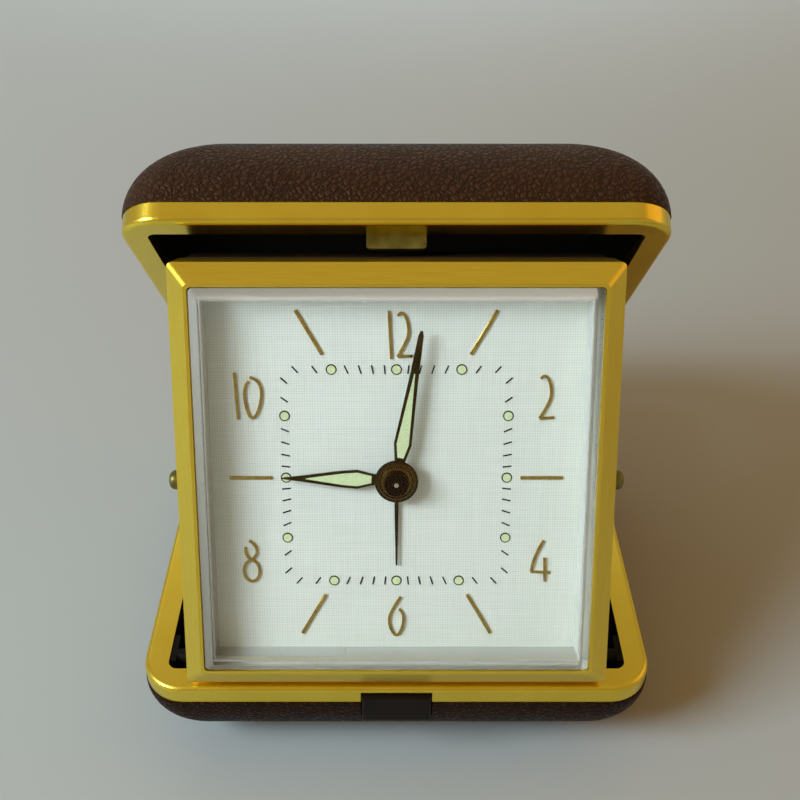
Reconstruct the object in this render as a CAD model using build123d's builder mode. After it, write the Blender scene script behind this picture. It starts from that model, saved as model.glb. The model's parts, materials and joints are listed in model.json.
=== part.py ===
# Folding travel alarm clock: two domed shells on a rear hinge, and a square clock head on two side arms.
# Millimetres. X is right, Y is back, Z is up. The origin is the middle of the base's flat underside.
import os
from math import cos, radians, sin

from build123d import *

os.makedirs("parts", exist_ok=True)

# Shells
shell_side = 81.0
shell_corner = 7.0
dome_arc = 15.0
dome_steps = 5
dome_full_turn = 90.0
shell_wall = 1.2
shell_upstand = 1.0
lining_sheet = 0.5
lining_gap = 0.05

# Brass rims
band_height = 3.2
band_inset = 0.15
rim_sheet = 0.6
rim_mouth_round = 0.9
flange_width = 4.2
opening_corner = 1.5
lip_depth = 1.8

# Hinge at the rear
open_angle = 51.4
hinge_setback = 1.5
knuckle_radius = 1.2
hinge_pin_radius = 0.6
hinge_fit = 0.05
hinge_length = 50.0
knuckle_count = 5
knuckle_gap = 0.1
leaf_sheet = 0.8
leaf_foot = 3.0
leaf_relief = 1.1
leaf_top = 0.1
pin_head_radius = 0.95
pin_head_length = 0.5

# Latch at the front
latch_width = 10.9
latch_top = 1.0
latch_bottom = 7.0
latch_proud = 0.6
latch_thickness = 1.6
latch_round = 0.45
latch_play = 0.15
latch_notch_reach = 2.6
stem_width = 6.0
stem_top = 3.6
stem_bottom = 4.6
riser_front = 5.4
riser_back = 6.4
riser_top = 1.1
nose_front = 4.6
nose_bottom = 1.7
nose_width = 3.6
guide_width = 8.0
guide_front = 2.2
guide_back = 3.5
guide_bottom = 5.4
guide_fit = 0.05
strike_width = 8.7
strike_sheet = 0.6
strike_hang = 2.2
strike_groove_width = 4.2
strike_groove_top = 1.0
strike_groove_bottom = 1.8
strike_groove_depth = 0.35
strike_round = 0.5

# Clock head
head_under_lid = 3.66
head_lean = 24.1
foot_inset = 0.05
foot_rise = 2.12
head_corner = 0.8
skirt_depth = 6.0
bezel_rise = 2.6
bezel_lip_width = 0.5
bezel_bar = 3.2
bezel_wall = 0.8
crystal_ledge = 1.3
crystal_fit = 0.15
crystal_flange = 1.3
crystal_wall = 1.4
crystal_top = 3.9
crystal_plate = 1.6
crystal_bevel = 1.5
crystal_corner = 0.6
dial_fit = 1.1
dial_sheet = 0.6
dial_depth = 2.5
dial_hole_radius = 2.2
case_inset = 0.9
case_top_proud = 1.05
case_depth = 17.0
case_round = 2.2
case_corner = 1.0
case_wall = 2.75
cover_sheet = 1.0
cover_screw_inset = 1.4
cover_screw_radius = 0.7
cover_screw_head_radius = 1.2
cover_screw_head = 0.5
cover_screw_length = 4.0

# Dial figures
print_height = 0.08
dot_track_share = 0.271
dot_radius = 0.72
tick_length = 1.3
tick_width = 0.2
minute_count = 60
hour_count = 12
minutes_per_hour_mark = 5
full_turn = 360.0
bar_width = 0.55
corner_bar_start_share = 0.355
corner_bar_end_share = 0.479
side_bar_start_share = 0.304
side_bar_end_share = 0.410
corner_bar_turns = (30.0, 150.0, 210.0, 330.0)
side_bar_turns = (90.0, 270.0)
figure_height_share = 0.109
figure_stroke_share = 0.0066
# Places of the figures from the dial's middle, as shares of its side
twelve_one_at_shares = (-0.015, 0.355)
twelve_two_at_shares = (0.019, 0.355)
two_at_shares = (0.363, 0.203)
four_at_shares = (0.362, -0.218)
six_at_shares = (0.0, -0.367)
eight_at_shares = (-0.363, -0.218)
ten_one_at_shares = (-0.386, 0.206)
ten_nought_at_shares = (-0.345, 0.202)
# Strokes of the figures, as shares of a figure's height
one_shares = ((-0.025, 0.53), (0.025, -0.53))
two_curve_shares = ((-0.15, 0.42), (-0.08, 0.48), (0.09, 0.14), (-0.01, -0.23), (-0.15, -0.48))
two_foot_shares = ((-0.15, -0.48), (0.17, -0.46))
four_slope_shares = ((0.05, 0.5), (-0.17, 0.0), (-0.22, -0.25))
four_bar_shares = ((-0.23, -0.26), (0.23, -0.28))
four_post_shares = ((0.08, 0.08), (0.1, -0.5))
six_shares = ((0.1, 0.48), (-0.12, 0.1), (-0.17, -0.15), (0.0, -0.48), (0.16, -0.13), (0.06, 0.17))
eight_right_shares = ((-0.04, 0.5), (0.13, 0.28), (-0.02, 0.0))
eight_left_shares = ((-0.12, 0.34), (-0.13, 0.24), (0.02, 0.01))
eight_bowl_share = -0.24
eight_bowl_across_share = 0.18
eight_bowl_up_share = 0.255
nought_shares = ((-0.07, 0.46), (0.1, 0.37), (0.18, 0.06), (-0.04, -0.46), (-0.19, -0.03), (-0.09, 0.37))

# Hands
hand_sheet = 0.25
alarm_hand_depth = 2.2
hour_hand_depth = 1.6
minute_hand_depth = 0.9
minute_turn = 9.2
hour_turn = 270.77
alarm_turn = 180.0
minute_length_share = 0.374
hour_length_share = 0.279
alarm_length_share = 0.227
minute_half_width = 1.3
hour_half_width = 1.45
alarm_half_width = 0.38
alarm_tip_half_width = 0.13
hand_outline = 0.4
leaf_root = 2.4
hand_boss_radius = 2.4
minute_leaf_shares = (
    (0.0, 0.5), (0.163, 1.0), (0.3, 0.86), (0.454, 0.71),
    (0.637, 0.53), (0.82, 0.4), (0.965, 0.3), (1.0, 0.14),
)
minute_lume_shares = ((0.06, 0.5), (0.163, 1.0), (0.3, 0.76), (0.454, 0.5), (0.69, 0.08))
hour_leaf_shares = (
    (0.0, 0.5), (0.09, 0.62), (0.234, 1.0), (0.386, 0.88),
    (0.559, 0.65), (0.759, 0.36), (0.97, 0.1), (1.0, 0.05),
)
hour_lume_shares = ((0.09, 0.52), (0.234, 1.0), (0.386, 0.83), (0.559, 0.48), (0.759, 0.06))
nut_radius = 3.2
nut_sheet = 0.35
nut_step_radius = 1.85
nut_step = 1.3
nut_pin_radius = 0.4
nut_pin = 0.3

# Movement
arbor_radius = 0.8
pivot_radius = 0.5
bearing_fit = 0.05
hour_pipe_bore = 0.9
hour_pipe_radius = 1.3
alarm_pipe_bore = 1.4
alarm_pipe_radius = 1.8
front_plate_front = 6.6
front_plate_back = 7.6
plate_sheet = 1.0
plate_back_gap = 1.5
plate_inset = 3.5
pillar_offset_share = 0.386
pillar_radius_share = 0.028
cannon_radius_share = 0.033
cannon_back = 6.3
cannon_front = 5.2
motion_offset_share = 0.126
motion_wheel_radius_share = 0.088
motion_wheel_back = 6.2
motion_wheel_front = 5.4
motion_pinion_radius_share = 0.026
motion_pinion_front = 4.5
motion_post_radius = 0.6
hour_wheel_radius_share = 0.096
hour_wheel_back = 5.2
hour_wheel_front = 4.6
alarm_wheel_radius_share = 0.114
alarm_wheel_back = 4.3
alarm_wheel_front = 3.8
alarm_set_offset_share = 0.163
alarm_set_pinion_share = 0.046
alarm_set_front = 3.6
time_barrel_at_shares = (-0.246, -0.211)
alarm_barrel_at_shares = (0.246, -0.211)
time_barrel_radius_share = 0.158
alarm_barrel_radius_share = 0.140
barrel_back_share = 0.855
barrel_front_share = 0.203
key_arbor_radius = 1.2
key_arbor_front_share = 0.029
third_at_shares = (-0.246, -0.025)
third_pinion_radius_share = 0.025
third_wheel_radius_share = 0.105
third_wheel_back_share = 0.174
third_wheel_front_share = 0.087
third_pinion_back_share = 0.783
third_pinion_front_share = 0.232
escape_at_shares = (-0.246, 0.105)
escape_pinion_radius_share = 0.021
escape_pinion_back_share = 0.261
escape_pinion_front_share = 0.029
escape_wheel_radius_share = 0.070
escape_wheel_back_share = 0.493
escape_wheel_front_share = 0.406
pallet_at_shares = (-0.246, 0.211)
pallet_length_share = 0.123
pallet_width = 1.4
pallet_fork_share = 0.070
balance_at_shares = (-0.246, 0.351)
balance_radius_share = 0.105
balance_rim = 0.9
balance_spoke = 0.8
balance_back_share = 0.783
balance_front_share = 0.696
hammer_at_shares = (0.246, 0.140)
hammer_length_share = 0.211
hammer_width = 1.6
hammer_head = 3.4
hammer_back_share = 0.493
hammer_front_share = 0.290
staff_inset = 0.3

# Keys and knobs on the back
knob_gap = 0.6
knob_length = 2.7
set_knob_radius = 3.0
key_boss_radius = 2.2
key_boss_length = 1.6
key_wing_length = 10.0
key_wing_width = 1.2
cover_hole_play = 0.4

# Arms that carry the head
arm_gap = 0.35
arm_sheet = 1.0
arm_half_width = 1.3
arm_boss_radius = 1.45
arm_pivot_back = 7.7
arm_pivot_drop = 1.46
head_pivot_low = 2.0
head_pivot_depth = 7.5
pivot_screw_radius = 0.8
pivot_screw_grip = 2.4
pivot_screw_head_radius = 1.5
pivot_screw_head = 2.3
pivot_screw_round = 0.9
pivot_pin_radius = 1.0
pivot_shoulder_radius = 1.3
bracket_sheet = 1.0
bracket_front = 5.9
bracket_back = 11.0
bracket_top = 0.2
bracket_bottom = 3.5
pivot_fit = 0.05

# Working lengths
shell_half = shell_side / 2
flat_half = shell_half - dome_arc
shell_height = band_height + dome_arc
inner_arc = dome_arc - shell_wall
lining_arc = inner_arc - lining_gap
lining_inner_arc = lining_arc - lining_sheet
band_half = shell_half - band_inset
opening_half = shell_half - flange_width
hinge_reach = shell_half + hinge_setback
lean = radians(head_lean)
opened = radians(open_angle)
lid_tip = (2 * shell_half + hinge_setback) * sin(opened)
head_side = (lid_tip - foot_rise - head_under_lid) / cos(lean)
bezel_opening = head_side - 2 * bezel_bar
bezel_pocket = head_side - 2 * bezel_wall
crystal_side = bezel_opening - 2 * crystal_fit
crystal_flange_side = bezel_opening + 2 * crystal_flange
dial_side = bezel_pocket - 2 * dial_fit
case_width = head_side - 2 * case_inset
movement_side = case_width - 2 * case_wall
cover_screw_offset = case_width / 2 - cover_screw_inset
back_plate_back = case_depth - plate_back_gap
back_plate_front = back_plate_back - plate_sheet
back_plate_side = movement_side - 2 * plate_inset
pillar_offset = movement_side * pillar_offset_share
pillar_radius = movement_side * pillar_radius_share
train_depth = back_plate_front - front_plate_back
staff_back = back_plate_back - staff_inset
staff_front = front_plate_front + staff_inset
knob_front = case_depth + cover_sheet + knob_gap
knob_back = knob_front + knob_length
arm_inner = case_width / 2 + arm_gap
dome_turns = [radians(dome_full_turn * step / (dome_steps - 1)) for step in range(dome_steps)]

# The dial's print and the hands follow the dial
dot_track = dial_side * dot_track_share
corner_bar_start = dial_side * corner_bar_start_share
corner_bar_end = dial_side * corner_bar_end_share
side_bar_start = dial_side * side_bar_start_share
side_bar_end = dial_side * side_bar_end_share
minute_length = dial_side * minute_length_share
hour_length = dial_side * hour_length_share
alarm_length = dial_side * alarm_length_share
figure_height = dial_side * figure_height_share
figure_stroke = dial_side * figure_stroke_share
bowl_across = figure_height * eight_bowl_across_share
bowl_up = figure_height * eight_bowl_up_share

# The movement follows the room inside the case
motion_offset = movement_side * motion_offset_share
motion_wheel_radius = movement_side * motion_wheel_radius_share
motion_pinion_radius = movement_side * motion_pinion_radius_share
hour_wheel_radius = movement_side * hour_wheel_radius_share
alarm_wheel_radius = movement_side * alarm_wheel_radius_share
alarm_set_offset = movement_side * alarm_set_offset_share
alarm_set_pinion = movement_side * alarm_set_pinion_share
cannon_radius = movement_side * cannon_radius_share
time_barrel_at = (movement_side * time_barrel_at_shares[0], movement_side * time_barrel_at_shares[1])
alarm_barrel_at = (movement_side * alarm_barrel_at_shares[0], movement_side * alarm_barrel_at_shares[1])
time_barrel_radius = movement_side * time_barrel_radius_share
alarm_barrel_radius = movement_side * alarm_barrel_radius_share
third_at = (movement_side * third_at_shares[0], movement_side * third_at_shares[1])
third_pinion_radius = movement_side * third_pinion_radius_share
third_wheel_radius = movement_side * third_wheel_radius_share
escape_at = (movement_side * escape_at_shares[0], movement_side * escape_at_shares[1])
escape_pinion_radius = movement_side * escape_pinion_radius_share
escape_wheel_radius = movement_side * escape_wheel_radius_share
pallet_at = (movement_side * pallet_at_shares[0], movement_side * pallet_at_shares[1])
pallet_length = movement_side * pallet_length_share
pallet_fork = movement_side * pallet_fork_share
balance_at = (movement_side * balance_at_shares[0], movement_side * balance_at_shares[1])
balance_radius = movement_side * balance_radius_share
hammer_at = (movement_side * hammer_at_shares[0], movement_side * hammer_at_shares[1])
hammer_length = movement_side * hammer_length_share
barrel_back = front_plate_back + train_depth * barrel_back_share
barrel_front = front_plate_back + train_depth * barrel_front_share
key_arbor_front = front_plate_back + train_depth * key_arbor_front_share
third_wheel_back = front_plate_back + train_depth * third_wheel_back_share
third_wheel_front = front_plate_back + train_depth * third_wheel_front_share
third_pinion_back = front_plate_back + train_depth * third_pinion_back_share
third_pinion_front = front_plate_back + train_depth * third_pinion_front_share
escape_pinion_back = front_plate_back + train_depth * escape_pinion_back_share
escape_pinion_front = front_plate_back + train_depth * escape_pinion_front_share
escape_wheel_back = front_plate_back + train_depth * escape_wheel_back_share
escape_wheel_front = front_plate_back + train_depth * escape_wheel_front_share
balance_back = front_plate_back + train_depth * balance_back_share
balance_front = front_plate_back + train_depth * balance_front_share
hammer_back = front_plate_back + train_depth * hammer_back_share
hammer_front = front_plate_back + train_depth * hammer_front_share

# Each shell has a plane in its mouth whose normal points out through the dome
base_mouth = Plane(origin=(0, 0, shell_height), x_dir=(1, 0, 0), z_dir=(0, 0, -1))
lid_mouth = Plane(
    origin=(0, hinge_reach - hinge_reach * cos(opened), shell_height + hinge_reach * sin(opened)),
    x_dir=(1, 0, 0),
    z_dir=(0, sin(opened), cos(opened)),
)
base_out = Axis(base_mouth.origin, base_mouth.z_dir)
lid_out = Axis(lid_mouth.origin, lid_mouth.z_dir)

# The head's plane lies in the bezel's outer step, with its normal out through the crystal
head_foot_y = foot_inset - shell_half
head_foot_z = shell_height + foot_rise
head_plane = Plane(
    origin=(0, head_foot_y + head_side / 2 * sin(lean), head_foot_z + head_side / 2 * cos(lean)),
    x_dir=(1, 0, 0),
    z_dir=(0, -cos(lean), sin(lean)),
)
head_out = Axis(head_plane.origin, head_plane.z_dir)

# Base shell: a hollow dome with an upstand that stands inside the brass band
with BuildPart() as base_shell:
    for turn in dome_turns:
        with BuildSketch(base_mouth.offset(band_height + dome_arc * sin(turn))):
            outer = 2 * (flat_half + dome_arc * cos(turn))
            RectangleRounded(outer, outer, shell_corner)
    loft()
    with BuildSketch(base_mouth.offset(rim_sheet)):
        upstand = 2 * (band_half - rim_sheet)
        RectangleRounded(upstand, upstand, shell_corner - rim_sheet)
    extrude(amount=band_height - rim_sheet)
    for turn in dome_turns:
        with BuildSketch(base_mouth.offset(band_height + inner_arc * sin(turn))):
            inner = 2 * (flat_half + inner_arc * cos(turn))
            RectangleRounded(inner, inner, shell_corner - shell_wall)
    loft(mode=Mode.SUBTRACT)
    with BuildSketch(base_mouth.offset(rim_sheet)):
        inner = 2 * (band_half - rim_sheet - shell_upstand)
        RectangleRounded(inner, inner, shell_corner - shell_wall)
    extrude(amount=band_height - rim_sheet, mode=Mode.SUBTRACT)
    with BuildSketch(base_mouth.offset(latch_top - latch_play)):
        with Locations((0, shell_half)):
            Rectangle(latch_width + 2 * latch_play, 2 * latch_notch_reach)
    extrude(amount=latch_bottom - latch_top + 2 * latch_play, mode=Mode.SUBTRACT)
base_shell.part.label = "base_shell"
export_step(base_shell.part, "parts/base_shell.step")

# Lid shell: the same dome without the latch notch
with BuildPart() as lid_shell:
    for turn in dome_turns:
        with BuildSketch(lid_mouth.offset(band_height + dome_arc * sin(turn))):
            outer = 2 * (flat_half + dome_arc * cos(turn))
            RectangleRounded(outer, outer, shell_corner)
    loft()
    with BuildSketch(lid_mouth.offset(rim_sheet)):
        upstand = 2 * (band_half - rim_sheet)
        RectangleRounded(upstand, upstand, shell_corner - rim_sheet)
    extrude(amount=band_height - rim_sheet)
    for turn in dome_turns:
        with BuildSketch(lid_mouth.offset(band_height + inner_arc * sin(turn))):
            inner = 2 * (flat_half + inner_arc * cos(turn))
            RectangleRounded(inner, inner, shell_corner - shell_wall)
    loft(mode=Mode.SUBTRACT)
    with BuildSketch(lid_mouth.offset(rim_sheet)):
        inner = 2 * (band_half - rim_sheet - shell_upstand)
        RectangleRounded(inner, inner, shell_corner - shell_wall)
    extrude(amount=band_height - rim_sheet, mode=Mode.SUBTRACT)
lid_shell.part.label = "lid_shell"
export_step(lid_shell.part, "parts/lid_shell.step")

# Base rim: band, flange and turned-in lip of formed sheet
with BuildPart() as base_rim:
    with BuildSketch(base_mouth):
        RectangleRounded(2 * band_half, 2 * band_half, shell_corner - band_inset)
        RectangleRounded(2 * opening_half, 2 * opening_half, opening_corner, mode=Mode.SUBTRACT)
    extrude(amount=rim_sheet)
    with BuildSketch(base_mouth):
        RectangleRounded(2 * band_half, 2 * band_half, shell_corner - band_inset)
        inner = 2 * (band_half - rim_sheet)
        RectangleRounded(inner, inner, shell_corner - rim_sheet, mode=Mode.SUBTRACT)
    extrude(amount=band_height)
    with BuildSketch(base_mouth):
        outer = 2 * (opening_half + rim_sheet)
        RectangleRounded(outer, outer, opening_corner + rim_sheet)
        RectangleRounded(2 * opening_half, 2 * opening_half, opening_corner, mode=Mode.SUBTRACT)
    extrude(amount=lip_depth)
    fillet(base_rim.faces().sort_by(base_out)[0].outer_wire().edges(), rim_mouth_round)
    with BuildSketch(base_mouth.offset(latch_top - latch_play)):
        with Locations((0, shell_half)):
            Rectangle(latch_width + 2 * latch_play, 2 * latch_notch_reach)
    extrude(amount=latch_bottom, mode=Mode.SUBTRACT)
base_rim.part.label = "base_rim"
export_step(base_rim.part, "parts/base_rim.step")

# Lid rim
with BuildPart() as lid_rim:
    with BuildSketch(lid_mouth):
        RectangleRounded(2 * band_half, 2 * band_half, shell_corner - band_inset)
        RectangleRounded(2 * opening_half, 2 * opening_half, opening_corner, mode=Mode.SUBTRACT)
    extrude(amount=rim_sheet)
    with BuildSketch(lid_mouth):
        RectangleRounded(2 * band_half, 2 * band_half, shell_corner - band_inset)
        inner = 2 * (band_half - rim_sheet)
        RectangleRounded(inner, inner, shell_corner - rim_sheet, mode=Mode.SUBTRACT)
    extrude(amount=band_height)
    with BuildSketch(lid_mouth):
        outer = 2 * (opening_half + rim_sheet)
        RectangleRounded(outer, outer, opening_corner + rim_sheet)
        RectangleRounded(2 * opening_half, 2 * opening_half, opening_corner, mode=Mode.SUBTRACT)
    extrude(amount=lip_depth)
    fillet(lid_rim.faces().sort_by(lid_out)[0].outer_wire().edges(), rim_mouth_round)
lid_rim.part.label = "lid_rim"
export_step(lid_rim.part, "parts/lid_rim.step")

# Base lining: a thin dark dish that lies on the shell's floor
with BuildPart() as base_lining:
    for turn in dome_turns:
        with BuildSketch(base_mouth.offset(band_height + lining_arc * sin(turn))):
            outer = 2 * (flat_half + lining_arc * cos(turn))
            RectangleRounded(outer, outer, shell_corner - shell_wall - lining_gap)
    loft()
    for turn in dome_turns:
        with BuildSketch(base_mouth.offset(band_height + lining_inner_arc * sin(turn))):
            inner = 2 * (flat_half + lining_inner_arc * cos(turn))
            RectangleRounded(inner, inner, shell_corner - shell_wall - lining_gap - lining_sheet)
    loft(mode=Mode.SUBTRACT)
    with BuildSketch(base_mouth.offset(latch_top - latch_play)):
        with Locations((0, shell_half)):
            Rectangle(latch_width + 2 * latch_play, 2 * latch_notch_reach)
    extrude(amount=latch_bottom - latch_top + 2 * latch_play, mode=Mode.SUBTRACT)
base_lining.part.label = "base_lining"
export_step(base_lining.part, "parts/base_lining.step")

# Lid lining
with BuildPart() as lid_lining:
    for turn in dome_turns:
        with BuildSketch(lid_mouth.offset(band_height + lining_arc * sin(turn))):
            outer = 2 * (flat_half + lining_arc * cos(turn))
            RectangleRounded(outer, outer, shell_corner - shell_wall - lining_gap)
    loft()
    for turn in dome_turns:
        with BuildSketch(lid_mouth.offset(band_height + lining_inner_arc * sin(turn))):
            inner = 2 * (flat_half + lining_inner_arc * cos(turn))
            RectangleRounded(inner, inner, shell_corner - shell_wall - lining_gap - lining_sheet)
    loft(mode=Mode.SUBTRACT)
lid_lining.part.label = "lid_lining"
export_step(lid_lining.part, "parts/lid_lining.step")

# Hinge leaves: drawn in the YZ section of each shell, cut into knuckles along X
knuckle_pitch = hinge_length / knuckle_count
knuckle_first = knuckle_gap / 2 - hinge_length / 2
knuckle_starts = [knuckle_first + knuckle_pitch * step for step in range(knuckle_count)]
knuckle_length = knuckle_pitch - knuckle_gap
base_section = Plane(origin=(0, hinge_reach, shell_height), x_dir=(0, 1, 0), z_dir=(1, 0, 0))
lid_section = Plane(origin=(0, hinge_reach, shell_height), x_dir=lid_mouth.y_dir, z_dir=(1, 0, 0))
leaf_wall = band_half - hinge_reach

with BuildPart() as base_hinge_leaf:
    with BuildSketch(base_section.offset(-hinge_length / 2)):
        with Locations((leaf_wall + leaf_sheet / 2, -(leaf_foot + leaf_relief) / 2)):
            Rectangle(leaf_sheet, leaf_foot - leaf_relief)
    extrude(amount=hinge_length)
    for start in knuckle_starts[0::2]:
        with BuildSketch(base_section.offset(start)):
            Circle(knuckle_radius)
            with Locations((leaf_wall + leaf_sheet / 2, -(leaf_foot + leaf_top) / 2)):
                Rectangle(leaf_sheet, leaf_foot - leaf_top)
            Circle(hinge_pin_radius + hinge_fit, mode=Mode.SUBTRACT)
        extrude(amount=knuckle_length)
base_hinge_leaf.part.label = "base_hinge_leaf"
export_step(base_hinge_leaf.part, "parts/base_hinge_leaf.step")

with BuildPart() as lid_hinge_leaf:
    with BuildSketch(lid_section.offset(-hinge_length / 2)):
        with Locations((leaf_wall + leaf_sheet / 2, (leaf_foot + leaf_relief) / 2)):
            Rectangle(leaf_sheet, leaf_foot - leaf_relief)
    extrude(amount=hinge_length)
    for start in knuckle_starts[1::2]:
        with BuildSketch(lid_section.offset(start)):
            Circle(knuckle_radius)
            with Locations((leaf_wall + leaf_sheet / 2, (leaf_foot + leaf_top) / 2)):
                Rectangle(leaf_sheet, leaf_foot - leaf_top)
            Circle(hinge_pin_radius + hinge_fit, mode=Mode.SUBTRACT)
        extrude(amount=knuckle_length)
lid_hinge_leaf.part.label = "lid_hinge_leaf"
export_step(lid_hinge_leaf.part, "parts/lid_hinge_leaf.step")

with BuildPart() as hinge_pin:
    pin_half = hinge_length / 2 - knuckle_gap / 2
    with BuildSketch(base_section.offset(-pin_half)):
        Circle(hinge_pin_radius)
    extrude(amount=2 * pin_half)
    with BuildSketch(base_section.offset(-pin_half - pin_head_length), base_section.offset(pin_half)):
        Circle(pin_head_radius)
    extrude(amount=pin_head_length)
hinge_pin.part.label = "hinge_pin"
export_step(hinge_pin.part, "parts/hinge_pin.step")

# Latch button with its stem and hook. Its section plane has X to the rear from the front edge and Y up.
latch_section = Plane(origin=(0, -shell_half, shell_height), x_dir=(0, 1, 0), z_dir=(1, 0, 0))
with BuildPart() as latch_button:
    with BuildSketch(latch_section.offset(-latch_width / 2)):
        with Locations((latch_thickness / 2 - latch_proud, -(latch_top + latch_bottom) / 2)):
            Rectangle(latch_thickness, latch_bottom - latch_top)
    extrude(amount=latch_width)
    fillet(latch_button.faces().sort_by(Axis.Y)[0].outer_wire().edges(), latch_round)
    with BuildSketch(latch_section.offset(-stem_width / 2)):
        with BuildLine():
            Polyline(
                (latch_thickness - latch_proud, -stem_bottom),
                (riser_back, -stem_bottom),
                (riser_back, -riser_top),
                (riser_front, -riser_top),
                (riser_front, -stem_top),
                (latch_thickness - latch_proud, -stem_top),
                close=True,
            )
        make_face()
    extrude(amount=stem_width)
    with BuildSketch(latch_section.offset(-nose_width / 2)):
        with Locations(((nose_front + riser_front) / 2, -(riser_top + nose_bottom) / 2)):
            Rectangle(riser_front - nose_front, nose_bottom - riser_top)
    extrude(amount=nose_width)
latch_button.part.label = "latch_button"
export_step(latch_button.part, "parts/latch_button.step")

# Guide under the flange that the latch stem slides in
with BuildPart() as latch_guide:
    guide_start = (0, guide_front - shell_half, shell_height)
    with BuildSketch(Plane(origin=guide_start, x_dir=(1, 0, 0), z_dir=(0, 1, 0))):
        with Locations((0, (rim_sheet + guide_bottom) / 2)):
            Rectangle(guide_width, guide_bottom - rim_sheet)
        with Locations((0, (stem_top + stem_bottom) / 2)):
            slot_height = stem_bottom - stem_top + 2 * guide_fit
            Rectangle(stem_width + 2 * guide_fit, slot_height, mode=Mode.SUBTRACT)
    extrude(amount=guide_back - guide_front)
latch_guide.part.label = "latch_guide"
export_step(latch_guide.part, "parts/latch_guide.step")

# Strike plate on the lid's front lip, with a groove behind for the latch's nose
with BuildPart() as strike_plate:
    strike_plane = Plane(
        origin=lid_mouth.from_local_coords((0, -opening_half, 0)),
        x_dir=(1, 0, 0),
        z_dir=lid_mouth.y_dir,
    )
    with BuildSketch(strike_plane):
        with Locations((0, (strike_hang - lip_depth) / 2)):
            RectangleRounded(strike_width, strike_hang + lip_depth, strike_round)
    extrude(amount=strike_sheet)
    with BuildSketch(strike_plane.offset(strike_sheet - strike_groove_depth)):
        with Locations((0, (strike_groove_top + strike_groove_bottom) / 2)):
            Rectangle(strike_groove_width, strike_groove_bottom - strike_groove_top)
    extrude(amount=strike_groove_depth, mode=Mode.SUBTRACT)
strike_plate.part.label = "strike_plate"
export_step(strike_plate.part, "parts/strike_plate.step")

# Bezel: skirt, sloping bars with mitred corners, and a ledge over the crystal's flange
with BuildPart() as bezel:
    with BuildSketch(head_plane.offset(-skirt_depth)):
        RectangleRounded(head_side, head_side, head_corner)
    extrude(amount=skirt_depth)
    with BuildSketch(head_plane):
        RectangleRounded(head_side, head_side, head_corner)
    with BuildSketch(head_plane.offset(bezel_rise)):
        lip_side = bezel_opening + 2 * bezel_lip_width
        RectangleRounded(lip_side, lip_side, head_corner)
    loft()
    with BuildSketch(head_plane.offset(-skirt_depth)):
        Rectangle(bezel_pocket, bezel_pocket)
    extrude(amount=skirt_depth - crystal_ledge, mode=Mode.SUBTRACT)
    with BuildSketch(head_plane.offset(-crystal_ledge)):
        RectangleRounded(bezel_opening, bezel_opening, crystal_corner)
    extrude(amount=crystal_ledge + bezel_rise, mode=Mode.SUBTRACT)
bezel.part.label = "bezel"
export_step(bezel.part, "parts/bezel.step")

# Crystal: a shallow box with a bevelled face and a flange under the bezel
with BuildPart() as crystal:
    with BuildSketch(head_plane.offset(-dial_depth)):
        Rectangle(crystal_flange_side, crystal_flange_side)
    extrude(amount=dial_depth - crystal_ledge)
    with BuildSketch(head_plane.offset(-dial_depth)):
        RectangleRounded(crystal_side, crystal_side, crystal_corner)
    extrude(amount=dial_depth + crystal_top - crystal_bevel)
    with BuildSketch(head_plane.offset(crystal_top - crystal_bevel)):
        RectangleRounded(crystal_side, crystal_side, crystal_corner)
    with BuildSketch(head_plane.offset(crystal_top)):
        face_side = crystal_side - 2 * crystal_bevel
        RectangleRounded(face_side, face_side, crystal_corner)
    loft()
    with BuildSketch(head_plane.offset(-dial_depth)):
        Rectangle(crystal_side - 2 * crystal_wall, crystal_side - 2 * crystal_wall)
    extrude(amount=dial_depth + crystal_top - crystal_plate, mode=Mode.SUBTRACT)
crystal.part.label = "crystal"
export_step(crystal.part, "parts/crystal.step")

# Dial
dial_face = head_plane.offset(-dial_depth)
with BuildPart() as dial:
    with BuildSketch(head_plane.offset(-dial_depth - dial_sheet)):
        Rectangle(dial_side, dial_side)
        Circle(dial_hole_radius, mode=Mode.SUBTRACT)
    extrude(amount=dial_sheet)
dial.part.label = "dial"
export_step(dial.part, "parts/dial.step")

# Luminous dots on a square track, at the true hour angles
hour_turns = [radians(full_turn * step / hour_count) for step in range(hour_count)]
dot_points = []
for turn in hour_turns:
    reach = dot_track / max(abs(sin(turn)), abs(cos(turn)))
    dot_points.append((reach * sin(turn), reach * cos(turn)))
with BuildPart() as hour_dots:
    with BuildSketch(dial_face):
        with Locations(*dot_points):
            Circle(dot_radius)
    extrude(amount=print_height)
hour_dots.part.label = "hour_dots"
export_step(hour_dots.part, "parts/hour_dots.step")

# Minute ticks between the dots, on the same track
tick_steps = [step for step in range(minute_count) if step % minutes_per_hour_mark]
tick_turns = [full_turn * step / minute_count for step in tick_steps]
tick_places = []
for turn in tick_turns:
    across = sin(radians(turn))
    along = cos(radians(turn))
    reach = dot_track / max(abs(across), abs(along))
    tick_places.append(Location((reach * across, reach * along, 0), (0, 0, -turn)))
with BuildPart() as minute_ticks:
    with BuildSketch(dial_face):
        with Locations(*tick_places):
            Rectangle(tick_width, tick_length)
    extrude(amount=print_height)
minute_ticks.part.label = "minute_ticks"
export_step(minute_ticks.part, "parts/minute_ticks.step")

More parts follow.
